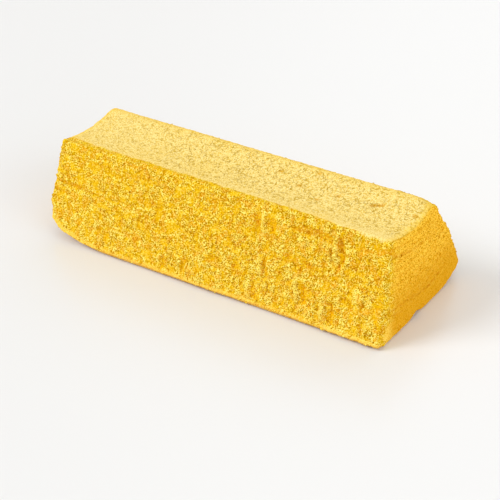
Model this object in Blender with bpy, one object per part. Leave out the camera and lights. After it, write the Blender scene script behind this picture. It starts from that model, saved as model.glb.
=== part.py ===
"""A stick of baumkuchen: one eighth of a ring of thin baked layers.

It lies on its outer skin, with the concave face that sat on the baking roller
on top. X runs along the stick, Y from the coarse front cut to the back cut and
Z up. All sizes are in metres. The origin is under the middle of the stick, on
the surface that it rests on.
"""

import math

import bmesh
import bpy
from mathutils import Vector, noise

# The ring that the stick was cut from, and the share of it that the stick is.
RING_INNER_RADIUS = 0.0439   # the face that sat on the roller
RING_CENTRE_Y = -0.0023
RING_CENTRE_Z = 0.0779       # above the surface that the stick rests on
STICKS_PER_RING = 8
TILT = math.radians(2.0)     # the stick leans a little towards its back edge
LENGTH = 0.145               # along the stick, at half its height
MID_HEIGHT = 0.0185
LAYERS = 13                  # coats of batter baked one over another

# Half sizes that turn the radii below into shares of a section.
HALF_TOP_WIDTH = 0.0165
HALF_BASE_WIDTH = 0.0313

# The roller side is filled up a little towards the left end.
LEFT_FILL = 0.0006

# The skin has settled flat in front, and curls up towards the back edge.
CURL_START_Y = 0.0125
CURL_RADIUS = 0.040

# The left end of the skin is worn off and lifts clear of the surface.
LIFT_LENGTH = 0.030
LIFT_HEIGHT = 0.006

# The knife leaned at the ends: how far the right end leans out towards the
# skin, and how far each slews from the front cut to the back, per metre.
RIGHT_LEAN = 0.119
RIGHT_SLEW = 0.028
LEFT_SLEW = 0.023

# Radii of the four long edges, (side, level) with -1 for front or skin.
EDGE_RADII = {
    (-1, -1): 0.0016,
    (-1, 1): 0.0007,
    (1, -1): 0.0012,
    (1, 1): 0.0046,
}
END_RADIUS = 0.0013

# Relief of the cut faces.
SEAM_DEPTH = 0.00016    # half the step between a layer and its seam
CRUMB_DEPTH = 0.00075   # lumps torn out by the knife
CRUMB_LENGTH = 0.0062
CRUMB_LAYERS = 1.25     # height of a lump, in layers
SWELL_DEPTH = 0.00045   # slow waviness of a hand-cut face
SWELL_SIZE = 0.030
TOP_RELIEF = 0.35       # share of that relief on the smooth roller side
BACK_SHIFT = 7.3        # offset in the noise, so that no two faces match

# Lumps left standing on the front cut and grooves dragged down it:
# x, z, half width, half height, rise.
CRAGS = (
    (0.0485, 0.0275, 0.0036, 0.0060, -0.0015),
    (0.0225, 0.0275, 0.0030, 0.0055, -0.0012),
    (-0.0240, 0.0210, 0.0028, 0.0060, -0.0009),
    (0.0388, 0.0099, 0.0034, 0.0032, 0.0010),
    (0.0510, 0.0082, 0.0036, 0.0030, 0.0010),
    (0.0620, 0.0152, 0.0030, 0.0032, 0.0009),
    (0.0650, 0.0080, 0.0032, 0.0032, 0.0009),
)

# A flake of skin is missing from the foot of the right end.
NICK_Y = -0.0045
NICK_WIDTH = 0.0090
NICK_DEPTH = 0.0024
NICK_LENGTH = 0.0060

# Density of the working grid. Two rows to each layer put one row on its seam.
CUTS_ALONG = 56
CUTS_ACROSS = 14
CUTS_UP = 2 * LAYERS

REST_BAND = 0.0016      # relief fades out this close to the surface
SMOOTH_ANGLE = math.radians(38)

CRUMB_YELLOW = (0.84, 0.50, 0.045, 1.0)
CRUMB_ROUGHNESS = 0.9


def clear_scene():
    """Removes whatever the open file holds."""
    for obj in list(bpy.data.objects):
        bpy.data.objects.remove(obj, do_unlink=True)


def blend(low, high, share):
    """The value that lies the given share of the way from low to high."""
    return low + (high - low) * share


def smooth_step(value):
    """Rises from 0 to 1 with level ends, as value goes from 0 to 1."""
    value = min(max(value, 0.0), 1.0)
    return value * value * (3.0 - 2.0 * value)


def gridded_cube(cuts_along, cuts_across, cuts_up):
    """A closed cube from -1 to 1, cut into a rectangular grid on its six faces."""
    grid = bmesh.new()
    bmesh.ops.create_cube(grid, size=2.0)
    axes = (Vector((1, 0, 0)), Vector((0, 1, 0)), Vector((0, 0, 1)))
    for axis, cuts in zip(axes, (cuts_along, cuts_across, cuts_up)):
        for step in range(1, cuts):
            bmesh.ops.bisect_plane(
                grid,
                geom=grid.verts[:] + grid.edges[:] + grid.faces[:],
                plane_co=axis * (2.0 * step / cuts - 1.0),
                plane_no=axis,
            )
    return grid


def round_corner(p, q, radius_p, radius_q):
    """Moves a point of a square of any size onto that square with round corners.

    The radii are those of the unit square, and shrink with the point's square.
    """
    size = max(abs(p), abs(q))
    if size == 0.0:
        return p, q
    over_p = max(abs(p) / size - (1.0 - radius_p), 0.0) / radius_p
    over_q = max(abs(q) / size - (1.0 - radius_q), 0.0) / radius_q
    if over_p == 0.0 or over_q == 0.0:
        return p, q
    reach = math.hypot(over_p, over_q)
    p = math.copysign(size * (1.0 - radius_p + radius_p * over_p / reach), p)
    q = math.copysign(size * (1.0 - radius_q + radius_q * over_q / reach), q)
    return p, q


def round_end(along, ring):
    """Rounds the rim between an end face and the long faces."""
    end_share = END_RADIUS / (LENGTH / 2)
    ring_share = END_RADIUS / MID_HEIGHT
    over_end = max(abs(along) - (1.0 - end_share), 0.0) / end_share
    over_ring = max(ring - (1.0 - ring_share), 0.0) / ring_share
    if over_end == 0.0 or over_ring == 0.0:
        return along, ring
    reach = math.hypot(over_end, over_ring)
    along = math.copysign(1.0 - end_share + end_share * over_end / reach, along)
    return along, 1.0 - ring_share + ring_share * over_ring / reach


def round_edges(across, up):
    """Rounds the four long edges, each by its own radius."""
    side = -1 if across < 0.0 else 1
    level = -1 if up < 0.0 else 1
    radius = EDGE_RADII[side, level]
    half_width = HALF_BASE_WIDTH if level < 0 else HALF_TOP_WIDTH
    return round_corner(across, up, radius / half_width, radius / MID_HEIGHT)


def skin_height(y, x):
    """Height of the plain skin above the resting surface."""
    beyond = max(y - CURL_START_Y, 0.0)
    curl = CURL_RADIUS - math.sqrt(CURL_RADIUS**2 - beyond**2)
    worn = max(LIFT_LENGTH - (x + LENGTH / 2), 0.0) / LIFT_LENGTH
    return curl + LIFT_HEIGHT * worn**2


def wedge_point(along, across, up):
    """The place on the plain wedge of a point of the cube."""
    ring = max(abs(across), abs(up))
    along, new_ring = round_end(along, ring)
    if ring > 0.0:
        across, up = across * new_ring / ring, up * new_ring / ring
    across, up = round_edges(across, up)
    x = along * LENGTH / 2

    # A radius of the ring runs from the roller side down to the skin.
    angle = TILT + across * math.pi / STICKS_PER_RING
    fill = LEFT_FILL * (1.0 - along) / 2.0 * (1.0 - across**2)
    top_y = RING_CENTRE_Y + RING_INNER_RADIUS * math.sin(angle)
    top_z = RING_CENTRE_Z - RING_INNER_RADIUS * math.cos(angle) + fill
    base_z = 0.0
    for _ in range(3):
        base_y = RING_CENTRE_Y + (RING_CENTRE_Z - base_z) * math.tan(angle)
        base_z = skin_height(base_y, x)
    share = (up + 1.0) / 2.0
    y = blend(base_y, top_y, share)
    z = blend(base_z, top_z, share)

    # Lean the ends over, the more so the nearer a point is to each.
    right = smooth_step((along + 1.0) / 2.0)
    slew = blend(LEFT_SLEW, RIGHT_SLEW, right)
    x += right * RIGHT_LEAN * (MID_HEIGHT - z) + slew * y
    return Vector((x, y, z))


def wave(place, size, shift=0.0):
    """Smooth noise of about -1 to 1, whose bumps are the given size apart."""
    return noise.noise(place / size + Vector((shift, 2.0 * shift, 3.0 * shift)))


def layer_relief(place, depth, shift):
    """Torn lumps that keep to their layers, with a seam under each layer."""
    x, layer = place.x / CRUMB_LENGTH, depth * LAYERS / CRUMB_LAYERS
    across = place.y / CRUMB_LENGTH
    lumps = noise.noise(Vector((x, across, layer + shift)))
    lumps += noise.noise(Vector((2.0 * x, 2.0 * across, 2.0 * layer + shift))) / 2.0
    uneven = 0.6 + 0.8 * noise.noise(Vector((x / 2.0, round(depth * LAYERS), shift)))
    seams = math.cos(2.0 * math.pi * LAYERS * depth)
    return CRUMB_DEPTH * lumps - SEAM_DEPTH * uneven * seams


def crag_relief(place):
    """The large lumps and grooves of the front cut."""
    height = 0.0
    for x, z, half_width, half_height, rise in CRAGS:
        away = math.hypot((place.x - x) / half_width, (place.z - z) / half_height)
        height += rise * smooth_step(1.0 - away)
    return height


def nick_relief(place, along):
    """The missing flake at the foot of the right end: cut up into the skin."""
    inward = (1.0 - along) * LENGTH / 2 / NICK_LENGTH
    across = abs(place.y - NICK_Y) / (NICK_WIDTH / 2)
    return NICK_DEPTH * max(1.0 - inward, 0.0) * max(1.0 - across, 0.0)


def relief(place, cube_place):
    """How far the surface stands out of the plain wedge at a place."""
    across, up = cube_place.y, cube_place.z
    shift = BACK_SHIFT if across > 0.0 else 0.0
    swell = SWELL_DEPTH * wave(place, SWELL_SIZE, shift)
    if up > 0.999:
        return TOP_RELIEF * (swell + CRUMB_DEPTH * wave(place, CRUMB_LENGTH))
    height = swell + layer_relief(place, (1.0 - up) / 2.0, shift)
    if across < -0.999:
        height += crag_relief(place)
    return height * smooth_step(place.z / REST_BAND)


def stick_mesh(name):
    """The whole stick as one closed mesh, with its origin under its middle."""
    grid = gridded_cube(CUTS_ALONG, CUTS_ACROSS, CUTS_UP)
    cube_places = [vert.co.copy() for vert in grid.verts]
    for vert in grid.verts:
        vert.co = wedge_point(*vert.co)
    grid.normal_update()
    outward = [vert.normal.copy() for vert in grid.verts]
    for vert, cube_place, normal in zip(grid.verts, cube_places, outward):
        vert.co += normal * relief(vert.co, cube_place)
        if cube_place.z < -0.999:
            vert.co.z += nick_relief(vert.co, cube_place.x)

    xs = [vert.co.x for vert in grid.verts]
    ys = [vert.co.y for vert in grid.verts]
    middle = Vector(((min(xs) + max(xs)) / 2, (min(ys) + max(ys)) / 2, 0.0))
    bmesh.ops.translate(grid, verts=grid.verts, vec=-middle)
    bmesh.ops.recalc_face_normals(grid, faces=grid.faces)

    mesh = bpy.data.meshes.new(name)
    grid.to_mesh(mesh)
    grid.free()
    mesh.shade_smooth()
    mesh.set_sharp_from_angle(angle=SMOOTH_ANGLE)
    return mesh


def crumb_material():
    """Matt egg-yellow sponge."""
    material = bpy.data.materials.new("egg_sponge")
    material.use_nodes = True
    shader = material.node_tree.nodes["Principled BSDF"]
    shader.inputs["Base Color"].default_value = CRUMB_YELLOW
    shader.inputs["Roughness"].default_value = CRUMB_ROUGHNESS
    shader.inputs["Metallic"].default_value = 0.0
    return material


def build():
    """Makes the part: one stick, in one piece."""
    clear_scene()
    mesh = stick_mesh("baumkuchen")
    mesh.materials.append(crumb_material())
    stick = bpy.data.objects.new("baumkuchen", mesh)
    bpy.context.scene.collection.objects.link(stick)


build()
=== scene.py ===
"""Looks of a stick of baumkuchen: a wedge of layered egg sponge on its outer skin.

The script follows the stick as it is made: the baked ring and the wedge cut from
it, the torn crumb of the cut faces, its colours, the crumbs that cling to it, and
last the floor, the light and the camera. All sizes are in metres.
"""

import math

import bpy
import numpy as np
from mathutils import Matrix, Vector


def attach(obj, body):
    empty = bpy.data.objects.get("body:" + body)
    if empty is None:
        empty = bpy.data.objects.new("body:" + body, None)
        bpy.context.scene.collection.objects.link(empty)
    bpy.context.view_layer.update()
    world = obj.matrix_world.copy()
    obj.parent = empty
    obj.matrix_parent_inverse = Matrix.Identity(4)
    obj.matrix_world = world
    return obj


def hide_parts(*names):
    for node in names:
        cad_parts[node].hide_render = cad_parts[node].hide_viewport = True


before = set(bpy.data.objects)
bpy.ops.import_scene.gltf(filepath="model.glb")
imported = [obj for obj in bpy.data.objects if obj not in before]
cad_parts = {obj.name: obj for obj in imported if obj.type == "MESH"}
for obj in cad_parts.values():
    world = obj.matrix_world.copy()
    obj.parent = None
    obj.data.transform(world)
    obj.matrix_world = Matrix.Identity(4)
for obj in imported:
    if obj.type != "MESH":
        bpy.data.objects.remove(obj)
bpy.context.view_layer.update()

# ----------------------------------------------------------------------------
# The wedge. Coats of batter are baked one over another on a turning roller, and
# the ring is cut along its radii into eight sticks. This one lies on its outer
# skin, with the hollow that the roller left along its top.
# ----------------------------------------------------------------------------
RING_INNER_RADIUS = 0.0439
RING_CENTRE_Y = -0.0023
RING_CENTRE_Z = 0.0779
STICKS_PER_RING = 8
TILT = math.radians(2.0)
LENGTH = 0.145
MID_HEIGHT = 0.0185
HALF_TOP_WIDTH = 0.0165
HALF_BASE_WIDTH = 0.0313
LEFT_FILL = 0.0006
CURL_START_Y = 0.0125
CURL_RADIUS = 0.040
LIFT_LENGTH = 0.030
LIFT_HEIGHT = 0.006
RIGHT_LEAN = 0.119
RIGHT_SLEW = 0.028
LEFT_SLEW = 0.023
EDGE_RADII = np.array([[0.0016, 0.0009], [0.0012, 0.0046]])  # front, back: skin, roller
END_RADIUS = 0.0013
MIDDLE = np.array([0.000974, -0.000062, 0.0])   # middle of the outer size, over the origin
STICK_CUTS = (304, 66, 78)                      # along, across and up


def smooth_step(low, high, value):
    """0 below low, 1 above high and 3t^2 - 2t^3 in between, t being the share passed."""
    share = np.clip((value - low) / (high - low), 0.0, 1.0)
    return share * share * (3.0 - 2.0 * share)


def closed_box(cuts):
    """Points and outward quads of a closed box from -1 to 1.

    Each of its six sides is a grid of two parameters, and the sides share the
    points of their rims: a point's number is looked up in a table of the box.
    """
    inside = np.zeros([cut + 1 for cut in cuts], bool)
    inside[1:-1, 1:-1, 1:-1] = True
    number = np.full(inside.shape, -1)
    number[~inside] = np.arange(np.count_nonzero(~inside))
    steps = [np.linspace(-1.0, 1.0, cut + 1) for cut in cuts]
    points = np.stack(np.meshgrid(*steps, indexing="ij"), axis=-1)[~inside]
    sides = []
    for axis in range(3):
        for end in (0, -1):
            side = np.take(number, end, axis=axis)
            corners = (side[:-1, :-1], side[1:, :-1], side[1:, 1:], side[:-1, 1:])
            quads = np.stack(corners, axis=-1).reshape(-1, 4)
            turned = (end == 0) != (axis == 1)
            sides.append(quads[:, ::-1] if turned else quads)
    return points, np.concatenate(sides)


def round_corner(p, q, radius_p, radius_q):
    """Moves points of a square onto it with round corners.

    Past the start of a corner on both sides, a point goes to the same direction
    on the corner's ellipse: start + radius * past / hypot(past of both).
    """
    size = np.maximum(np.maximum(abs(p), abs(q)), 1e-9)
    past_p = np.maximum(abs(p) / size - (1.0 - radius_p), 0.0) / radius_p
    past_q = np.maximum(abs(q) / size - (1.0 - radius_q), 0.0) / radius_q
    both = (past_p > 0.0) & (past_q > 0.0)
    reach = np.where(both, np.hypot(past_p, past_q), 1.0)
    round_p = np.sign(p) * size * (1.0 - radius_p + radius_p * past_p / reach)
    round_q = np.sign(q) * size * (1.0 - radius_q + radius_q * past_q / reach)
    return np.where(both, round_p, p), np.where(both, round_q, q)


def skin_height(y, x):
    """Height of the plain skin: flat, an arc past CURL_START_Y, a parabola at the left."""
    past = np.maximum(y - CURL_START_Y, 0.0)
    curl = CURL_RADIUS - np.sqrt(CURL_RADIUS**2 - past**2)
    worn = np.maximum(LIFT_LENGTH - (x + LENGTH / 2), 0.0) / LIFT_LENGTH
    return curl + LIFT_HEIGHT * worn**2


def wedge(box):
    """Carries the points of a box onto the plain wedge.

    x runs along the stick. Across is an angle about the ring's middle, and up is
    the share of the way along that radius from the skin to the roller's cylinder.
    The right end leans and both ends slew, the more so the nearer a point is.
    """
    along, across, up = box.T
    ring = np.maximum(abs(across), abs(up))
    along, round_ring = round_corner(along, ring, END_RADIUS / (LENGTH / 2), END_RADIUS / MID_HEIGHT)
    at_rim = np.maximum(abs(box[:, 0]), ring) > 1.0 - 1e-6
    shrink = np.where(at_rim, round_ring / np.maximum(ring, 1e-9), 1.0)
    across, up = across * shrink, up * shrink
    upper = (up > 0.0).astype(int)
    radius = EDGE_RADII[(across > 0.0).astype(int), upper]
    half_width = np.array([HALF_BASE_WIDTH, HALF_TOP_WIDTH])[upper]
    across, up = round_corner(across, up, radius / half_width, radius / MID_HEIGHT)

    x = along * LENGTH / 2
    angle = TILT + across * math.pi / STICKS_PER_RING
    fill = LEFT_FILL * (1.0 - along) / 2.0 * (1.0 - across**2)
    top_y = RING_CENTRE_Y + RING_INNER_RADIUS * np.sin(angle)
    top_z = RING_CENTRE_Z - RING_INNER_RADIUS * np.cos(angle) + fill
    base_z = np.zeros_like(x)
    for _ in range(3):
        base_y = RING_CENTRE_Y + (RING_CENTRE_Z - base_z) * np.tan(angle)
        base_z = skin_height(base_y, x)
    share = (up + 1.0) / 2.0
    y = base_y + (top_y - base_y) * share
    z = base_z + (top_z - base_z) * share

    right = smooth_step(0.0, 1.0, (along + 1.0) / 2.0)
    slew = LEFT_SLEW + (RIGHT_SLEW - LEFT_SLEW) * right
    x = x + right * RIGHT_LEAN * (MID_HEIGHT - z) + slew * y
    return np.stack([x, y, z], axis=-1)


def outward_normals(points, quads):
    """The mean of the crossed diagonals of the quads at each point, one unit long."""
    a, b, c, d = (points[quads[:, corner]] for corner in range(4))
    crossed = np.cross(c - a, d - b)
    normals = np.zeros_like(points)
    for corner in range(4):
        np.add.at(normals, quads[:, corner], crossed)
    return normals / np.linalg.norm(normals, axis=1, keepdims=True)


box, stick_quads = closed_box(STICK_CUTS)
plain = wedge(box)
outward = outward_normals(plain, stick_quads)

# ----------------------------------------------------------------------------
# The torn crumb. The knife drags through the soft sponge and leaves rounded
# clumps and crevices on the cut faces, coarser to the right, with a fine seam
# under each baked layer. The roller's side stays smooth, with small pits.
# ----------------------------------------------------------------------------
LAYER_PITCH = 0.00275
ARC_SHARE = 0.55            # how far the layers follow the ring, not the skin
LAYERS_DEEP = 0.018         # half the depth of all layers, measured straight down
SKIN_BAND = 0.0026          # height of the smoother last coat at the cut faces
END_SKIN_BAND = 0.0072      # and at the ends
ROLLER_HALF_WIDTH = 0.0172  # measures that turn shares of the box into metres
CUT_HALF_HEIGHT = 0.0186
END_HALF_WIDTH = 0.024
BASE_HALF_WIDTH = 0.031
CHUNK_SIZE = 0.0044
CHUNK_DEPTH = 0.00120
CLUMP_SIZE = 0.0030
CLUMP_DEPTH = 0.00080
CRUMB_SIZE = 0.00145
CRUMB_DEPTH = 0.00036
GRAIN_SIZE = 0.0007
GRAIN_DEPTH = 0.00016
BEND_SIZE = 0.0021
BEND = 0.00045
SEAM_WIDTH = 0.13           # share of a layer
SEAM_DEPTH = 0.00016
STREAK_SIZE = 0.0010
STREAK_DEPTH = 0.00060
SWELL_DEPTH = 0.00045
SWELL_SIZE = 0.030
PIT_SIZE = 0.0013
PIT_DEPTH = 0.00026
MATT_SIZE = 0.0010          # the roller side's fine grain
MATT_DEPTH = 0.00012
REST_BAND = 0.0012          # the relief dies out this near to the table
LIP_RISE = 0.00045
LIP_REACH = 0.0045
# A fissure or pit takes its full painted shade at this depth.
SLIT_FULL = 0.0007          # depth of a fissure that takes its full colour
FOOT_HEIGHTS = (0.022, 0.009)
# At these reliefs the colour is palest or deepest: painted light on what stands out, painted shade in
# what lies deep.
PROUD_FULL = 0.00022        # reliefs that take the palest colour
BROAD_FULL = 0.00030

# Hollows and lumps of the front cut: x, z, half width, half height and rise.
CRAGS = np.array([
    (0.0174, 0.0284, 0.0024, 0.0036, -0.0012),
    (0.0475, 0.0303, 0.0014, 0.0016, -0.0010),
    (-0.0240, 0.0210, 0.0020, 0.0056, -0.0008),
    (0.0620, 0.0152, 0.0028, 0.0028, 0.0009),
    (0.0025, 0.0125, 0.0034, 0.0014, -0.0008),
    (0.0130, 0.0112, 0.0022, 0.0011, -0.0008),
    (0.0585, 0.0125, 0.0030, 0.0014, -0.0009),
    (-0.0480, 0.0085, 0.0030, 0.0026, -0.0007),
])

# Clefts where the knife tugged a chunk to the right: a crest, and the smooth
# slope beside it. x, z, half height, width, rise of the crest, fall of the slope.
CLEFTS = np.array([
    (0.0205, 0.0292, 0.0032, 0.0044, 0.0010, 0.0013),
    (0.0218, 0.0155, 0.0028, 0.0028, 0.0008, 0.0010),
    (0.0382, 0.0103, 0.0038, 0.0036, 0.0010, 0.0013),
    (0.0497, 0.0073, 0.0035, 0.0038, 0.0010, 0.0013),
    (0.0499, 0.0280, 0.0044, 0.0034, 0.0009, 0.0014),
    (0.0473, 0.0268, 0.0032, 0.0022, 0.0007, 0.0008),
    (0.0073, 0.0045, 0.0024, 0.0022, 0.0008, 0.0004),
    (0.0193, 0.0056, 0.0028, 0.0028, 0.0008, 0.0005),
    (0.0254, 0.0090, 0.0020, 0.0020, 0.0007, 0.0006),
    (0.0690, 0.0080, 0.0024, 0.0024, 0.0008, 0.0006),
    (-0.0110, 0.0062, 0.0024, 0.0024, 0.0008, 0.0006),
    (-0.0200, 0.0048, 0.0022, 0.0022, 0.0007, 0.0005),
    (-0.0470, 0.0068, 0.0022, 0.0022, 0.0007, 0.0006),
    (-0.0330, 0.0150, 0.0020, 0.0020, 0.0006, 0.0005),
])
CLEFT_LEAN = -0.3

# Fissures along the layers of the front cut: both ends' x and z, half width and depth.
CRACKS = np.array([
    (0.0266, 0.0195, 0.0316, 0.0193, 0.0005, 0.0007),
    (0.0316, 0.0193, 0.0378, 0.0188, 0.0005, 0.0009),
    (0.0400, 0.0182, 0.0430, 0.0186, 0.0005, 0.0006),
    (0.0560, 0.0246, 0.0590, 0.0240, 0.0005, 0.0005),
])

# Where the front cut is torn into fine streaks along the layers: x, z, half
# length, half height and how strongly.
STREAKS = np.array([
    (0.0380, 0.0195, 0.0140, 0.0034, 1.0),
    (0.0380, 0.0318, 0.0110, 0.0024, 0.9),
    (-0.0670, 0.0205, 0.0080, 0.0026, 0.9),
    (-0.0280, 0.0168, 0.0070, 0.0028, 0.7),
    (0.0570, 0.0246, 0.0090, 0.0024, 0.7),
    (-0.0450, 0.0270, 0.0260, 0.0060, 0.4),
])

# Pits of the roller's side: both ends' x and y, half width and depth.
PITS = np.array([
    (0.0505, 0.0037, 0.0540, 0.0054, 0.0008, 0.0010),
    (0.0313, -0.0023, 0.0317, -0.0022, 0.0009, 0.0006),
    (0.0370, 0.0032, 0.0376, 0.0033, 0.0008, 0.0006),
    (0.0244, 0.0117, 0.0252, 0.0118, 0.0008, 0.0005),
    (0.0208, 0.0029, 0.0215, 0.0028, 0.0009, 0.0006),
    (0.0104, 0.0073, 0.0112, 0.0074, 0.0008, 0.0005),
    (0.0672, 0.0049, 0.0682, 0.0050, 0.0008, 0.0006),
])

# Fissures of the right end: both ends' y and z, half width and depth. The first
# four are one torn layer, and the rest mark the top of the last coats.
END_CRACKS = np.array([
    (-0.0206, 0.0306, -0.0146, 0.0289, 0.00045, 0.00054),
    (-0.0146, 0.0289, -0.0068, 0.0272, 0.00045, 0.00054),
    (-0.0068, 0.0272, 0.0029, 0.0264, 0.00045, 0.00036),
    (0.0029, 0.0264, 0.0121, 0.0259, 0.00045, 0.00024),
    (-0.0299, 0.0119, -0.0246, 0.0108, 0.00045, 0.00060),
    (-0.0246, 0.0108, -0.0193, 0.0086, 0.00045, 0.00048),
    (-0.0222, 0.0109, -0.0159, 0.0106, 0.00045, 0.00036),
    (-0.0159, 0.0106, -0.0088, 0.0090, 0.00045, 0.00036),
    (-0.0088, 0.0090, -0.0031, 0.0083, 0.00045, 0.00042),
    (-0.0031, 0.0083, 0.0052, 0.0072, 0.00045, 0.00054),
    (0.0052, 0.0072, 0.0104, 0.0077, 0.00045, 0.00066),
    (0.0104, 0.0077, 0.0139, 0.0082, 0.00045, 0.00072),
])

# Corners that are rubbed off: along, across, up, how far it reaches and how deep.
WORN_CORNERS = (
    ((1.0, 1.0, 1.0), 0.0080, 0.0013),
    ((1.0, 1.0, 0.5), 0.0100, 0.0012),
    ((-1.0, -1.0, -1.0), 0.0080, 0.0015),
)

# The flake of skin that is missing from the foot of the right end.
NICK_Y = -0.0045
NICK_WIDTH = 0.0090
NICK_DEPTH = 0.0024
NICK_LENGTH = 0.0060

# Where the pale roller side gives way to torn crumb in front: x and the distance
# from the edge, less than 0 down on the front cut.
PALE_EDGE_X = (-0.0700, -0.0620, -0.0450, -0.0200, 0.0000, 0.0200, 0.0400, 0.0490, 0.0620, 0.0720)
PALE_EDGE_WIDTH = (0.0058, 0.0050, 0.0041, 0.0036, 0.0028, 0.0025, 0.0019, 0.0001, -0.0009, -0.0006)


def cell_number(cell, seed):
    """A number from 0 to 1 for each whole cell, from its mixed and folded bits."""
    bits = (cell * np.array([73856093, 19349663, 83492791])).sum(axis=-1) + seed * 40503
    bits = bits.astype(np.uint64) & np.uint64(0xFFFFFFFF)
    for shift, factor in ((16, 0x7FEB352D), (15, 0x846CA68B), (16, 1)):
        bits = (bits ^ (bits >> np.uint64(shift))) * np.uint64(factor) & np.uint64(0xFFFFFFFF)
    return bits.astype(float) / 2.0**32


def wave(place, size, seed):
    """Smooth noise from -1 to 1: the cell numbers of the eight corners, blended."""
    scaled = place / size
    cell = np.floor(scaled).astype(int)
    share = scaled - cell
    share = share * share * (3.0 - 2.0 * share)
    total = 0.0
    for corner in np.ndindex(2, 2, 2):
        near = np.where(corner, share, 1.0 - share).prod(axis=-1)
        total = total + near * cell_number(cell + np.array(corner), seed)
    return 2.0 * total - 1.0


def clumps(place, size, seed):
    """Rounded clumps, one to a cell of a jittered grid.

    Gives sqrt(1 - r^2 / 0.81), r being the distance from the nearest clump's
    middle in cells, how far right of that middle the place is, and the clump's number.
    """
    scaled = place / size
    cell = np.floor(scaled).astype(int)
    nearest = np.full(len(place), 9.0)
    right_of = np.zeros(len(place))
    own = np.zeros(len(place))
    for step in np.ndindex(3, 3, 3):
        other = cell + np.array(step) - 1
        jitter = np.stack([cell_number(other, seed + axis) for axis in range(3)], axis=-1)
        offset = scaled - (other + 0.1 + 0.8 * jitter)
        away = np.linalg.norm(offset, axis=-1)
        closer = away < nearest
        right_of = np.where(closer, offset[:, 0], right_of)
        own = np.where(closer, cell_number(other, seed + 7), own)
        nearest = np.where(closer, away, nearest)
    return np.sqrt(np.clip(1.0 - nearest**2 / 0.81, 0.0, 1.0)), right_of, own


def trenches(p, q, rows):
    """Depth of narrow hollows: depth * (1 - (distance to the line / half width)^2)."""
    depth = np.zeros(len(p))
    for p0, q0, p1, q1, half_width, most in rows:
        run_p, run_q = p1 - p0, q1 - q0
        share = ((p - p0) * run_p + (q - q0) * run_q) / (run_p**2 + run_q**2)
        share = np.clip(share, 0.0, 1.0)
        away = np.hypot(p - p0 - share * run_p, q - q0 - share * run_q)
        depth = np.maximum(depth, most * np.clip(1.0 - (away / half_width) ** 2, 0.0, 1.0))
    return depth


def smoothed(values, quads, rounds):
    """Values averaged over each point's quads, a number of rounds over."""
    count = np.zeros(len(values))
    for corner in range(4):
        np.add.at(count, quads[:, corner], 1.0)
    for _ in range(rounds):
        mean = values[quads].mean(axis=1)
        values = np.zeros(len(values))
        for corner in range(4):
            np.add.at(values, quads[:, corner], mean)
        values = values / count
    return values


x, y, z = plain.T
along, across, up = box.T

# How far each face has a say, from the way that it looks.
roller_side = smooth_step(0.50, 0.86, outward[:, 2])
skin_side = smooth_step(0.55, 0.90, -outward[:, 2])
into_end = (across + 1.0) * END_HALF_WIDTH + 0.0008 * wave(plain, 0.0022, 12)
cut_end = smooth_step(0.45, 0.85, abs(outward[:, 0])) * smooth_step(0.0, 0.0030, into_end)
cut_side = 1.0 - np.maximum(np.maximum(roller_side, skin_side), cut_end)
front = np.where(outward[:, 1] < 0.0, 1.0, 0.0) * cut_side
rear = cut_side - front

# The depth of a place below the roller's side, part along the ring's radii.
from_middle = np.hypot(y - RING_CENTRE_Y, z - RING_CENTRE_Z) - RING_INNER_RADIUS
straight_depth = (1.0 - up) * LAYERS_DEEP
depth = ARC_SHARE * from_middle + (1.0 - ARC_SHARE) * straight_depth
depth = depth + 0.0004 * wave(plain * np.array([1.0, 1.0, 0.3]), 0.012, 11)
layer = depth / LAYER_PITCH
skin_top = SKIN_BAND + (END_SKIN_BAND - SKIN_BAND) * cut_end * smooth_step(0.0, 0.004, into_end)
in_skin = smooth_step(0.0004, -0.0004, z - skin_height(y, x) - skin_top)

# The pale roller side, and the distance from its torn front edge.
under_top = (1.0 - up) * CUT_HALF_HEIGHT
from_front_edge = (across + 1.0) * ROLLER_HALF_WIDTH - under_top
from_back_edge = (1.0 - across) * ROLLER_HALF_WIDTH - under_top
from_end_edge = (1.0 - abs(along)) * LENGTH / 2 - under_top
pale_edge = np.interp(x, PALE_EDGE_X, PALE_EDGE_WIDTH)
ragged = 0.0006 * wave(plain, 0.0035, 21) + 0.0004 * wave(plain, 0.0012, 22)
pale = smooth_step(-0.0004, 0.0004, from_front_edge - pale_edge + ragged)
pale = pale * smooth_step(-0.0042, -0.0026, from_back_edge + 1.5 * ragged)
pale = pale * smooth_step(-0.0004, 0.0004, from_end_edge + 0.5 * ragged)

# Clumps of three sizes, drawn upwards, bent about a little and coarser to the
# right. The knife went that way, so each falls off on its right side.
bend = np.stack([wave(plain, BEND_SIZE, seed) for seed in (31, 32, 33)], axis=-1)
crumb_place = np.stack([x, 1.2 * y, 0.85 * z], axis=-1) + BEND * bend
crumb_place[:, 1] += np.where(outward[:, 1] > 0.0, 0.05, 0.0)
chunk_place = crumb_place * [1.0, 1.0, 0.85] + 0.0006 * bend
chunk, chunk_right, chunk_tone = clumps(chunk_place, CHUNK_SIZE, 131)
clump, clump_right, clump_tone = clumps(crumb_place, CLUMP_SIZE, 41)
crumb, _, crumb_tone = clumps(crumb_place, CRUMB_SIZE, 51)
grain = wave(crumb_place, GRAIN_SIZE, 61)
coarse = smooth_step(-0.075, 0.055, x) + 0.35 * smooth_step(0.030, 0.005, z)
coarse = np.clip(0.45 + 0.55 * coarse + 0.30 * wave(plain, 0.016, 71), 0.35, 1.3)
torn = CLUMP_DEPTH * coarse * (clump * (0.35 + 0.65 * clump_tone) - 0.45 - 0.6 * clump_right)
torn += CRUMB_DEPTH * (0.5 + 0.5 * coarse) * (crumb * (0.3 + 0.7 * crumb_tone) - 0.42)
torn += GRAIN_DEPTH * grain
low_down = smooth_step(0.021, 0.010, z) * smooth_step(0.0015, 0.0045, z)
pulled = (0.15 + 0.85 * low_down) * (0.35 + 0.65 * chunk_tone)
pulled *= np.clip(0.8 + 0.5 * wave(plain, 0.014, 141), 0.2, 1.3)
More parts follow.
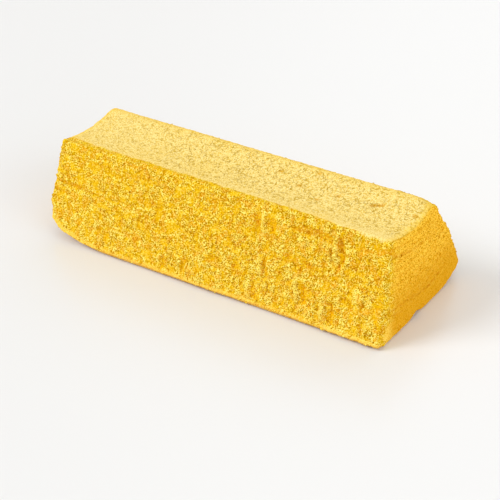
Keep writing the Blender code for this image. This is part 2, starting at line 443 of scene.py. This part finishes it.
torn += CHUNK_DEPTH * pulled * (0.45 * chunk - 0.30 - 0.75 * chunk_right)

# A seam between two layers is a bell-shaped groove, which comes and goes. It
# shows best where the cut is fine, high up on the left.
seam = np.exp(-(((layer - np.round(layer)) / SEAM_WIDTH) ** 2))
fine_cut = smooth_step(-0.02, -0.06, x) * smooth_step(0.010, 0.024, z)
seam_place = np.stack([x, y, np.round(layer) * 0.02], axis=-1)
seam_strength = 0.25 + 0.45 * fine_cut + wave(seam_place, 0.020, 81)
seam_cut = SEAM_DEPTH * np.clip(seam_strength, 0.0, 1.2) * seam

# Streaks are noise drawn out along the layers.
streak_place = np.stack([0.16 * x, 0.0 * y, depth], axis=-1) + 0.00015 * bend
streak = smooth_step(0.10, 0.60, wave(streak_place, STREAK_SIZE, 151))
zone_away = np.hypot(
    (x[:, None] - STREAKS[:, 0]) / STREAKS[:, 2],
    (z[:, None] - STREAKS[:, 1]) / STREAKS[:, 3],
)
zone = (STREAKS[:, 4] * smooth_step(1.2, 0.5, zone_away + 0.25 * bend[:, :1])).sum(axis=1)
zone = np.clip(zone, 0.0, 1.0) * front

height = SWELL_DEPTH * wave(plain, SWELL_SIZE, 91) * (1.0 - 0.65 * roller_side)
height -= seam_cut * (cut_side + 0.8 * cut_end) + STREAK_DEPTH * streak * zone

# A cleft's crest is a narrow ridge, and its slope falls away to the right of it.
# Such slopes and those of the chunks low down are calm, smoother than the rest,
# and turned from the window, and their gold colour is painted warm shade.
cleft_z = (z[:, None] + 0.0008 * bend[:, 1:2] - CLEFTS[:, 1]) / CLEFTS[:, 2]
cleft_x = x[:, None] + 0.0005 * bend[:, :1] - CLEFTS[:, 0] - CLEFT_LEAN * (z[:, None] - CLEFTS[:, 1])
cleft_x = cleft_x / CLEFTS[:, 3]
within = smooth_step(1.2, 0.6, abs(cleft_z))
crest = np.exp(-(((cleft_x + 0.02) / 0.15) ** 2)) * within
slope = np.clip(cleft_x / 0.7, 0.0, 1.0) * smooth_step(1.25, 0.85, cleft_x) * within
height += front * (CLEFTS[:, 4] * crest - CLEFTS[:, 5] * slope).sum(axis=1)
# The crests' pale colour is a painted highlight, set on the left flank of each crest, which faces the
# window.
crest_painted_highlight = (np.exp(-(((cleft_x + 0.15) / 0.13) ** 2)) * within).sum(axis=1)
crest_painted_highlight = front * np.clip(crest_painted_highlight, 0.0, 1.0)
calm = (slope * CLEFTS[:, 5] / 0.0012).sum(axis=1)
calm += 0.7 * low_down * chunk_tone * smooth_step(0.05, 0.45, chunk_right)
calm = front * np.clip(calm, 0.0, 1.0)

height += torn * (cut_side + 0.42 * cut_end) * (1.0 - 0.45 * in_skin) * (1.0 - 0.3 * calm)

away = np.hypot(
    (x[:, None] + 0.0011 * bend[:, :1] - CRAGS[:, 0]) / CRAGS[:, 2],
    (z[:, None] + 0.0016 * bend[:, 1:2] - CRAGS[:, 1]) / CRAGS[:, 3],
)
crags = (CRAGS[:, 4] * smooth_step(1.35, 0.15, away)).sum(axis=1)
height += crags * front * (0.5 + 1.0 * clump_tone)
slits = trenches(x, z + 0.0005 * bend[:, 0], CRACKS) * front * (0.4 + 0.8 * crumb_tone)
right_end = cut_end * np.where(along > 0.0, 1.0, 0.0)
slits += trenches(y, z + 0.0004 * bend[:, 2], END_CRACKS) * right_end * (0.5 + 0.7 * crumb_tone)

# The roller's side: a fine matt grain, small pits, a few larger ones.
pits, _, pit_tone = clumps(plain + 0.0004 * bend, PIT_SIZE, 101)
fine_pits = smooth_step(0.84, 0.99, pits) * smooth_step(0.55, 0.98, pit_tone)
top_height = MATT_DEPTH * wave(plain, MATT_SIZE, 111) - PIT_DEPTH * fine_pits
slits += roller_side * trenches(x + 0.0003 * bend[:, 0], y + 0.0003 * bend[:, 1], PITS)
edge_crumb = (1.0 - pale) * roller_side
height += roller_side * top_height + edge_crumb * (torn * 0.55 - 0.00015) - slits

height *= smooth_step(0.0, REST_BAND, z) * (1.0 - skin_side)
shaped = plain + outward * height[:, None]

# The worn corners go inwards. The nick cuts away the foot, most in its middle.
for corner, reach, most in WORN_CORNERS:
    corner = np.array(corner)
    tip = plain[np.linalg.norm(box - corner, axis=1).argmin()]
    rubbed = most * smooth_step(reach, 0.0, np.linalg.norm(plain - tip, axis=1))
    shaped -= rubbed[:, None] * corner / math.sqrt(3.0)
inward = (1.0 - along) * LENGTH / 2 / NICK_LENGTH
nick_across = abs(y - NICK_Y) / (NICK_WIDTH / 2)
nick = NICK_DEPTH * np.clip(1.0 - inward, 0.0, 1.0) * np.clip(1.0 - nick_across, 0.0, 1.0)
shaped[:, 2] += nick * np.clip(-up, 0.0, 1.0) ** 8
shaped[:, 2] = np.maximum(shaped[:, 2], 0.0)

# The thin lip of skin along the foot of the front cut is lifted a little.
near_lip = smooth_step(LIP_REACH, 0.0, (across + 1.0) * BASE_HALF_WIDTH)
near_lip *= smooth_step(LIP_REACH, 0.0, z)
shaped[:, 2] += LIP_RISE * near_lip

# How far a place stands out of what surrounds it. The colours follow it as
# painted light on what stands out and painted shade in what lies deep.
proud = (height - smoothed(height, stick_quads, 9)) / PROUD_FULL
proud = np.clip(0.5 + 0.5 * proud, 0.0, 1.0)
broad = smoothed(height, stick_quads, 4)
broad = (broad - smoothed(broad, stick_quads, 40)) / BROAD_FULL
broad = np.clip(0.5 + 0.5 * broad, 0.0, 1.0)

# ----------------------------------------------------------------------------
# The sponge's colours. Egg yolk makes the crumb a deep yellow. Its tips are
# painted lighter and its crevices a deeper orange, painted light and shade of
# the relief, and its seams are orange. The roller's side is pale and matt, and
# the skin is an even gold, browner underneath.
# ----------------------------------------------------------------------------
CRUMB_STOPS = (
    (0.00, (0.46, 0.203, 0.0002, 1.0)),
    (0.20, (0.61, 0.319, 0.0005, 1.0)),
    (0.42, (0.74, 0.466, 0.0044, 1.0)),
    (0.60, (0.83, 0.570, 0.0200, 1.0)),
    (0.80, (0.93, 0.684, 0.0710, 1.0)),
    (1.00, (0.98, 0.830, 0.1950, 1.0)),
)
END_SHADED_STOPS = (
    (0.00, (0.50, 0.215, 0.0004, 1.0)),
    (0.30, (0.79, 0.385, 0.0040, 1.0)),
    (0.60, (0.95, 0.505, 0.0240, 1.0)),
    (1.00, (1.00, 0.620, 0.0650, 1.0)),
)
SKIN_STOPS = (
    (0.00, (0.62, 0.300, 0.0030, 1.0)),
    (0.40, (0.98, 0.580, 0.0500, 1.0)),
    (1.00, (1.00, 0.700, 0.1200, 1.0)),
)
LAST_COATS = (0.70, 0.310, 0.0020, 1.0)
# Painted shade in the fissures and pits, the darker the deeper they are.
SLIT_SHADE_BROWN = (0.60, 0.220, 0.0030, 1.0)
PIT_SHADE_BROWN = (0.74, 0.380, 0.0120, 1.0)
YOLK_YELLOW = (0.95, 0.575, 0.0040, 1.0)
YOLK_ORANGE = (0.88, 0.402, 0.0050, 1.0)
CREST_PAINTED_HIGHLIGHT = (1.00, 0.780, 0.1200, 1.0)
CALM_SLOPE_SHADE_GOLD = (1.00, 0.530, 0.0020, 1.0)
SEAM_ORANGE = (0.72, 0.300, 0.0040, 1.0)
PALE_TOP = (0.95, 0.757, 0.285, 1.0)
PALE_HOLLOW = (0.76, 0.505, 0.082, 1.0)
PORE_SHADE = (0.62, 0.375, 0.028, 1.0)
PALE_WARM = (0.96, 0.620, 0.055, 1.0)
SKIN_BROWN = (0.55, 0.240, 0.045, 1.0)

COARSE_GRAIN = 0.0011
FINE_GRAIN = 0.00050
SPECK_SIZE = 0.00042
YOLK_SIZE = 0.0026
BLOTCH_SIZE = 0.007
WIDE_SIZE = 0.022
PORE_SIZE = 0.0009
PORE_PATCH = 0.0022
BUMP_DEPTH = 0.0005
CRUMB_ROUGHNESS = 0.85
SKIN_SHEEN = 0.15


class Reading:
    """A number that varies over a surface, with sums that add Math nodes."""

    def __init__(self, finish, socket):
        self.finish = finish
        self.socket = socket

    def maths(self, operation, left, right):
        """A Math node on two readings or plain numbers."""
        return self.finish.add("ShaderNodeMath", {"operation": operation}, {0: left, 1: right})

    def __add__(self, other):
        return self.maths("ADD", self, other)

    def __radd__(self, other):
        return self.maths("ADD", other, self)

    def __sub__(self, other):
        return self.maths("SUBTRACT", self, other)

    def __rsub__(self, other):
        return self.maths("SUBTRACT", other, self)

    def __mul__(self, other):
        return self.maths("MULTIPLY", self, other)

    def __rmul__(self, other):
        return self.maths("MULTIPLY", other, self)


class Finish:
    """A material whose nodes are added one by one."""

    def __init__(self, name):
        self.material = bpy.data.materials.new(name)
        self.material.use_nodes = True
        self.tree = self.material.node_tree
        self.tree.nodes.clear()
        self.place = self.add("ShaderNodeTexCoord", output=3)

    def add(self, kind, settings=None, inputs=None, output=0):
        """Adds a node: its settings first, then its sockets' values or links."""
        node = self.tree.nodes.new(kind)
        for setting, value in (settings or {}).items():
            if setting == "stops":
                ramp = node.color_ramp
                for place, colour in value[2:]:
                    ramp.elements.new(place)
                for element, (place, colour) in zip(ramp.elements, value):
                    element.position = place
                    element.color = colour
            else:
                setattr(node, setting, value)
        for socket, value in (inputs or {}).items():
            if isinstance(value, Reading):
                self.tree.links.new(value.socket, node.inputs[socket])
            else:
                node.inputs[socket].default_value = value
        return Reading(self, node.outputs[output])

    def close(self, shader):
        """Joins the shader to the material's output."""
        surface = self.tree.nodes.new("ShaderNodeOutputMaterial")
        self.tree.links.new(shader.socket, surface.inputs["Surface"])

    def attribute(self, name):
        """A reading that the mesh carries."""
        return self.add("ShaderNodeAttribute", {"attribute_name": name}, output=2)

    def noise(self, size, detail):
        """Noise from 0 to 1 whose blotches are about the given size."""
        inputs = {"Vector": self.place, "Scale": 1.0 / size, "Detail": detail}
        return self.add("ShaderNodeTexNoise", {}, inputs)

    def cells(self, size):
        """The distance from the middle of the nearest of cells of the given size."""
        return self.add("ShaderNodeTexVoronoi", {}, {"Vector": self.place, "Scale": 1.0 / size})

    def ramp(self, stops, value):
        """The colour that the stops give to a value."""
        return self.add("ShaderNodeValToRGB", {"stops": stops}, {0: value})

    def blend(self, share, low, high):
        """The colour a share of the way from low to high."""
        return self.add("ShaderNodeMix", {"data_type": "RGBA"}, {0: share, 6: low, 7: high}, 2)

    def rise(self, low, high, value):
        """0 below low and 1 above high, with a smooth run between."""
        return self.add(
            "ShaderNodeMapRange",
            {"interpolation_type": "SMOOTHSTEP"},
            {"Value": value, "From Min": low, "From Max": high},
        )


def new_piece(name, points, quads, readings, material):
    """A smooth mesh from arrays of points and faces, with readings as attributes."""
    mesh = bpy.data.meshes.new(name)
    mesh.from_pydata(points, [], quads)
    for reading, values in readings.items():
        carried = mesh.attributes.new(reading, "FLOAT", "POINT")
        carried.data.foreach_set("value", np.asarray(values, np.float32))
    mesh.shade_smooth()
    mesh.materials.append(material)
    piece = bpy.data.objects.new(name, mesh)
    bpy.context.scene.collection.objects.link(piece)
    return piece


sponge = Finish("egg_sponge")

# What the mesh carries at each point.
proud_of = sponge.attribute("proud")
broad_of = sponge.attribute("broad")
calm_shaded_slope_of = sponge.attribute("calm")
crest_painted_highlight_of = sponge.attribute("crest")
foot_of = sponge.attribute("foot")
seam_of = sponge.attribute("seam")
slit_shade_of = sponge.attribute("slit")
end_shaded_of = sponge.attribute("end")
skin_of = sponge.attribute("skin")
under_skin_and_foot_shade_of = sponge.attribute("under")
pale_of = sponge.attribute("pale")
pitted_of = sponge.attribute("pitted")
rim_of = sponge.attribute("rim")

# Grains and blotches of the sponge, from the finest to the widest.
speck = sponge.noise(SPECK_SIZE, 0.0)
finer = sponge.cells(FINE_GRAIN)
fine = sponge.cells(COARSE_GRAIN)
yolk = sponge.noise(YOLK_SIZE, 1.0)
blotch = sponge.noise(BLOTCH_SIZE, 2.0)
wide = sponge.noise(WIDE_SIZE, 1.0)

# The crumb: a real grain, painted pale where it stands out and orange where it
# lies deep as painted light and shade of the relief, with yolky patches, golden
# calm slopes that are painted warm shade, and painted highlights on the crests.
grit = 0.8 * (0.5 - fine) + 2.8 * (finer - 0.5) + 2.3 * (speck - 0.5)
relief_light_and_grain = 0.30 * proud_of + 0.46 * broad_of + grit * (1.0 - 0.15 * calm_shaded_slope_of) + 0.06 * foot_of + 0.05
# Yolky patches, more of them in the hollows as painted warm shade.
yellow_patch_and_hollow_shade = sponge.rise(0.44, 0.66, yolk + 0.35 * (0.5 - broad_of)) * 0.60
orange_patch = sponge.rise(0.48, 0.36, yolk) * 0.44 + sponge.rise(0.56, 0.70, blotch) * 0.20
crumb_colour = sponge.ramp(CRUMB_STOPS, relief_light_and_grain)
crumb_colour = sponge.blend(yellow_patch_and_hollow_shade, crumb_colour, YOLK_YELLOW)
crumb_colour = sponge.blend(orange_patch, crumb_colour, YOLK_ORANGE)
# Painted warm shade on the calm slopes that turn away from the window.
crumb_colour = sponge.blend(calm_shaded_slope_of * 0.45, crumb_colour, CALM_SLOPE_SHADE_GOLD)
crumb_colour = sponge.blend(crest_painted_highlight_of * 0.45, crumb_colour, CREST_PAINTED_HIGHLIGHT)

# The ends are of a deeper, oranger gold than the front, which is painted shade of
# the right end, turned from the window. They are lighter where the crumb stands
# out, painted light, and browner in the last coats by the skin.
end_shaded_colour = sponge.ramp(END_SHADED_STOPS, 0.50 * proud_of + 0.9 * grit + 0.44)
last_coats = sponge.blend(0.35, LAST_COATS, end_shaded_colour)
end_shaded_colour = sponge.blend(foot_of * 0.85, end_shaded_colour, last_coats)
crumb_colour = sponge.blend(end_shaded_of, crumb_colour, end_shaded_colour)
crumb_colour = sponge.blend(seam_of * 0.62, crumb_colour, SEAM_ORANGE)

# The skin, seen as a band along the foot and from below, lighter where it stands
# out as painted light. It is brown underneath, and the thin brown line along the
# very foot of the front is painted shade where the front meets the floor.
skin_colour = sponge.ramp(SKIN_STOPS, 0.30 * proud_of + 0.36 * broad_of + 0.5 * grit + 0.32)
skin_colour = sponge.blend(under_skin_and_foot_shade_of * (0.75 + 0.5 * (blotch - 0.5)), skin_colour, SKIN_BROWN)
skin_colour = sponge.blend(end_shaded_of, skin_colour, last_coats)
crumb_colour = sponge.blend(skin_of, crumb_colour, skin_colour)
# Painted shade in the fissures.
crumb_colour = sponge.blend(slit_shade_of * 0.8, crumb_colour, SLIT_SHADE_BROWN)

# The roller's side: pale, with a faint grain, pores in patches painted darker as
# painted shade, painted shade in its hollows, and warmer rims.
top_grain = (1.5 * (0.5 - finer) + 2.0 * (speck - 0.5)) * (0.35 + 0.65 * pitted_of)
pores = sponge.rise(0.58, 0.80, sponge.cells(PORE_SIZE))
pores = pores * sponge.rise(0.25, 0.60, sponge.noise(PORE_PATCH, 0.0))
pore_and_hollow_shade = pores * pitted_of * 0.75 + sponge.rise(0.40, 0.05, proud_of) * 0.35
warm = sponge.rise(0.45, 0.75, wide) * 0.2 + rim_of * 0.55
pale_colour = sponge.blend(sponge.rise(-0.32, 0.10, top_grain), PALE_HOLLOW, PALE_TOP)
pale_colour = sponge.blend(pore_and_hollow_shade, pale_colour, PORE_SHADE)
pale_colour = sponge.blend(slit_shade_of * 0.8, pale_colour, PIT_SHADE_BROWN)
pale_colour = sponge.blend(warm, pale_colour, PALE_WARM)
sponge_colour = sponge.blend(pale_of, crumb_colour, pale_colour)

grain_height = 0.05 * grit * (1.0 - pale_of) - 0.7 * pore_and_hollow_shade * pale_of
bump = sponge.add(
    "ShaderNodeBump",
    {},
    {"Strength": 1.0, "Distance": BUMP_DEPTH, "Height": grain_height},
)
shader = sponge.add(
    "ShaderNodeBsdfPrincipled",
    {},
    {
        "Base Color": sponge_colour,
        "Roughness": CRUMB_ROUGHNESS - SKIN_SHEEN * skin_of,
        "Specular IOR Level": 0.0,
        "Normal": bump,
    },
)
sponge.close(shader)

# The right end's painted shade turns from the front's yellow to gold further in,
# the seams show on the cut faces, and the pores of the roller's side fade out to
# the left.
end_shaded_look = cut_end * smooth_step(0.0, 0.009, into_end + 0.002 * wave(plain, 0.005, 121))
seam_look = seam * (1.1 * cut_end + 0.5 * cut_side * np.clip(seam_strength, 0.0, 1.0))
seam_look += 1.4 * streak * zone
seam_look *= (1.0 - skin_side) * (0.5 + 0.7 * crumb_tone)
pitted = smooth_step(0.0010, 0.0100, from_front_edge + ragged * 2.0)
pitted *= 0.6 + 0.4 * smooth_step(-0.07, -0.02, x)

stick = new_piece(
    "sponge_stick",
    shaped - MIDDLE,
    stick_quads,
    {
        "proud": proud,
        "broad": broad,
        "pale": pale,
        "skin": np.maximum(in_skin * (1.0 - pale), skin_side),
        # Brown skin underneath, and painted shade in a thin line along the front's foot.
        "under": np.maximum(skin_side, 0.9 * smooth_step(0.0017, 0.0009, z) * front),
        "end": end_shaded_look,
        "seam": np.clip(seam_look, 0.0, 1.0),
        # How deep a fissure or pit is, which sets its painted shade.
        "slit": np.clip(slits / SLIT_FULL, 0.0, 1.0),
        "foot": smooth_step(*FOOT_HEIGHTS, z),
        "pitted": pitted,
        "calm": calm,
        "crest": crest_painted_highlight,
        "rim": smooth_step(0.0070, -0.0030, from_back_edge) + smooth_step(0.0035, 0.0, from_end_edge),
    },
    sponge.material,
)
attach(stick, "root")
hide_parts("baumkuchen")

# ----------------------------------------------------------------------------
# The crumbs that the knife tore loose, which still cling to the cut faces. Each
# is a small uneven lump of sponge, half sunk in the face. The coarse ones lie
# where the front is torn most, low down and to the right.
# ----------------------------------------------------------------------------
CRUMB_RING_HEIGHT = 1.0 / math.sqrt(5.0)
CRUMB_RADIUS = 0.00029
COARSE_RADIUS = 0.00046
CRUMB_SPREAD = 0.32
CRUMB_LARGE_SHARE = 0.05
CRUMB_LARGEST = 0.00115
CRUMB_SINKING = 0.45
CRUMB_UNEVEN = 0.28


def crumb_ball():
    """Points and faces of a lump of twenty faces: two poles and two rings of five."""
    turn = np.arange(5) * 2.0 * math.pi / 5.0
    reach = 2.0 * CRUMB_RING_HEIGHT
    upper = np.stack([reach * np.cos(turn), reach * np.sin(turn), turn * 0 + CRUMB_RING_HEIGHT], 1)
    half = turn + math.pi / 5.0
    lower = np.stack([reach * np.cos(half), reach * np.sin(half), turn * 0 - CRUMB_RING_HEIGHT], 1)
    points = np.concatenate([[(0.0, 0.0, 1.0)], upper, lower, [(0.0, 0.0, -1.0)]])
    ring = np.arange(5)
    following = (ring + 1) % 5
    faces = np.concatenate([
        np.stack([ring * 0, 1 + ring, 1 + following], 1),
        np.stack([1 + ring, 6 + ring, 1 + following], 1),
        np.stack([1 + following, 6 + ring, 6 + following], 1),
        np.stack([6 + ring, ring * 0 + 11, 6 + following], 1),
    ])
    return points, faces


def clinging_crumbs(name, share, number, size, sunk, seed):
    """A mesh of lumps strewn over the stick's faces, as often as share says.

    A lump's radius is size * e^(spread * normal number), larger where the cut is
    coarse. Its middle lies under the face by sunk to sunk + CRUMB_SINKING of that
    radius, and it takes its colours from the face that it clings to, with painted
    light on its outer side and painted shade on its underside.
    """
    draw = np.random.default_rng(seed)
    corners = shaped[stick_quads]
    crossed = np.cross(corners[:, 2] - corners[:, 0], corners[:, 3] - corners[:, 1])
    weight = np.linalg.norm(crossed, axis=1) * share[stick_quads].mean(axis=1)
    chosen = draw.choice(len(stick_quads), number, p=weight / weight.sum())
    mix = draw.random((number, 2, 1))
    low = corners[chosen, 0] * mix[:, 0] + corners[chosen, 1] * (1.0 - mix[:, 0])
    high = corners[chosen, 3] * mix[:, 0] + corners[chosen, 2] * (1.0 - mix[:, 0])
    spot = low * mix[:, 1] + high * (1.0 - mix[:, 1])
    host = stick_quads[chosen, 0]
    facing = outward[host]
    rough = coarse[host]

    radius = size * np.exp(CRUMB_SPREAD * draw.standard_normal(number)) * (0.72 + 0.42 * rough)
    large = draw.random(number) < CRUMB_LARGE_SHARE * rough
    radius = np.where(large, radius * (1.5 + 0.9 * draw.random(number)), radius)
    radius = np.minimum(radius, CRUMB_LARGEST)
    middle = spot - facing * (radius * (sunk + CRUMB_SINKING * draw.random(number)))[:, None]
    middle[:, 2] = np.maximum(middle[:, 2], 1.25 * radius)

    first = draw.standard_normal((number, 3))
    first /= np.linalg.norm(first, axis=1, keepdims=True)
    second = np.cross(first, draw.standard_normal((number, 3)))
    second /= np.linalg.norm(second, axis=1, keepdims=True)
    turned = np.stack([first, second, np.cross(first, second)], axis=1)
    ball, faces = crumb_ball()
    uneven = 1.0 + CRUMB_UNEVEN * (draw.random((number, len(ball), 1)) - 0.5)
    squash = 0.75 + 0.45 * draw.random((number, 1, 3))
    local = ball * uneven * squash
    lumps = middle[:, None] + radius[:, None, None] * np.einsum("npk,nkc->npc", local, turned)
    lifted = np.einsum("npc,nc->np", lumps - middle[:, None], facing) / radius[:, None]
    tone = draw.random(number)
    points = lumps.reshape(-1, 3) - MIDDLE
    numbers = np.arange(number)[:, None, None] * len(ball) + faces
    readings = {
        # Painted light on each lump's outer side and painted shade on its underside.
        "proud": np.clip(0.33 + 0.42 * lifted + 0.35 * (tone[:, None] - 0.4), 0.0, 1.0).ravel(),
        "broad": np.repeat(broad[host], len(ball)),
        "end": np.repeat(end_shaded_look[host], len(ball)),
        "crest": np.repeat(crest_painted_highlight[host], len(ball)),
        "foot": np.repeat(smooth_step(*FOOT_HEIGHTS, spot[:, 2]), len(ball)),
    }
    crumbs = new_piece(name, points, numbers.reshape(-1, 3), readings, sponge.material)
    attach(crumbs, "root")


bare = (1.0 - pale) * (1.0 - skin_side) * (1.0 - 0.85 * in_skin) * (1.0 - 0.35 * calm)
below_top = smooth_step(0.86, 0.70, up)
on_ends = bare * cut_end * below_top * smooth_step(0.97, 0.85, across)
clinging_crumbs("crumbs_front", bare * front * (0.6 + 0.6 * coarse), 9500, CRUMB_RADIUS, 0.10, 1)
clinging_crumbs("crumbs_coarse", bare * front * coarse, 4500, COARSE_RADIUS, 0.30, 4)
clinging_crumbs("crumbs_back", bare * rear * below_top, 9500, CRUMB_RADIUS, 0.10, 2)
clinging_crumbs("crumbs_ends", on_ends, 6000, CRUMB_RADIUS * 0.8, 0.45, 3)

# ----------------------------------------------------------------------------
# The setting: a plain pale floor, soft daylight from the left, a reflector on
# the right, weak light from behind, and a pale sky that fills the shadows.
# ----------------------------------------------------------------------------
FLOOR_HALF = 3.0
FLOOR_WHITE = (0.81, 0.81, 0.80, 1.0)
SKY_STRENGTH = 0.67
SKY_CREAM = (1.0, 0.96, 0.91, 1.0)
LAMP_COOL = (1.0, 1.05, 1.12)
KEY_FROM = (-0.70, -0.56, 0.66)
KEY_STRENGTH = 1.57
FILL_FROM = (0.95, -0.25, 0.12)
FILL_STRENGTH = 1.62
BACK_FROM = (-0.10, 0.80, 0.62)
BACK_STRENGTH = 0.40

side = np.array([-FLOOR_HALF, FLOOR_HALF])
floor_points = np.stack(np.meshgrid(side, side, [0.0], indexing="ij"), axis=-1).reshape(-1, 3)
floor_finish = Finish("floor_white")
floor_shader = floor_finish.add(
    "ShaderNodeBsdfPrincipled",
    {},
    {"Base Color": FLOOR_WHITE, "Roughness": 0.3, "Specular IOR Level": 0.5},
)
floor_finish.close(floor_shader)
floor = new_piece("floor", floor_points, [(0, 2, 3, 1)], {}, floor_finish.material)

sky = bpy.data.worlds.new("pale_sky")
sky.use_nodes = True
sky.node_tree.nodes["Background"].inputs["Color"].default_value = SKY_CREAM
sky.node_tree.nodes["Background"].inputs["Strength"].default_value = SKY_STRENGTH
bpy.context.scene.world = sky


def shine(name, towards, strength, softness):
    """Even light from one direction, from a disc of the sky of the given angle."""
    lamp = bpy.data.lights.new(name, "SUN")
    lamp.energy = strength
    lamp.angle = softness
    lamp.color = LAMP_COOL
    light = bpy.data.objects.new(name, lamp)
    light.rotation_euler = Vector(towards).to_track_quat("Z", "Y").to_euler()
    bpy.context.scene.collection.objects.link(light)


shine("window", KEY_FROM, KEY_STRENGTH, math.radians(28))
shine("reflector", FILL_FROM, FILL_STRENGTH, math.radians(80))
shine("far_window", BACK_FROM, BACK_STRENGTH, math.radians(50))

# ----------------------------------------------------------------------------
# The camera: a long lens from the right in front, well above the stick.
# ----------------------------------------------------------------------------
AZIMUTH = math.radians(32.11)
ELEVATION = math.radians(31.64)
DISTANCE = 0.576
LOOK_AT = Vector((-0.00067, 0.00226, 0.0))
LENS = 108.0

towards_camera = Vector((
    math.sin(AZIMUTH) * math.cos(ELEVATION),
    -math.cos(AZIMUTH) * math.cos(ELEVATION),
    math.sin(ELEVATION),
))
lens = bpy.data.cameras.new("camera")
lens.lens = LENS
lens.sensor_width = 36.0
lens.clip_start = 0.01
camera = bpy.data.objects.new("camera", lens)
camera.location = LOOK_AT + DISTANCE * towards_camera
camera.rotation_euler = towards_camera.to_track_quat("Z", "Y").to_euler()
bpy.context.scene.collection.objects.link(camera)
bpy.context.scene.camera = camera
bpy.context.scene.view_settings.view_transform = "Standard"
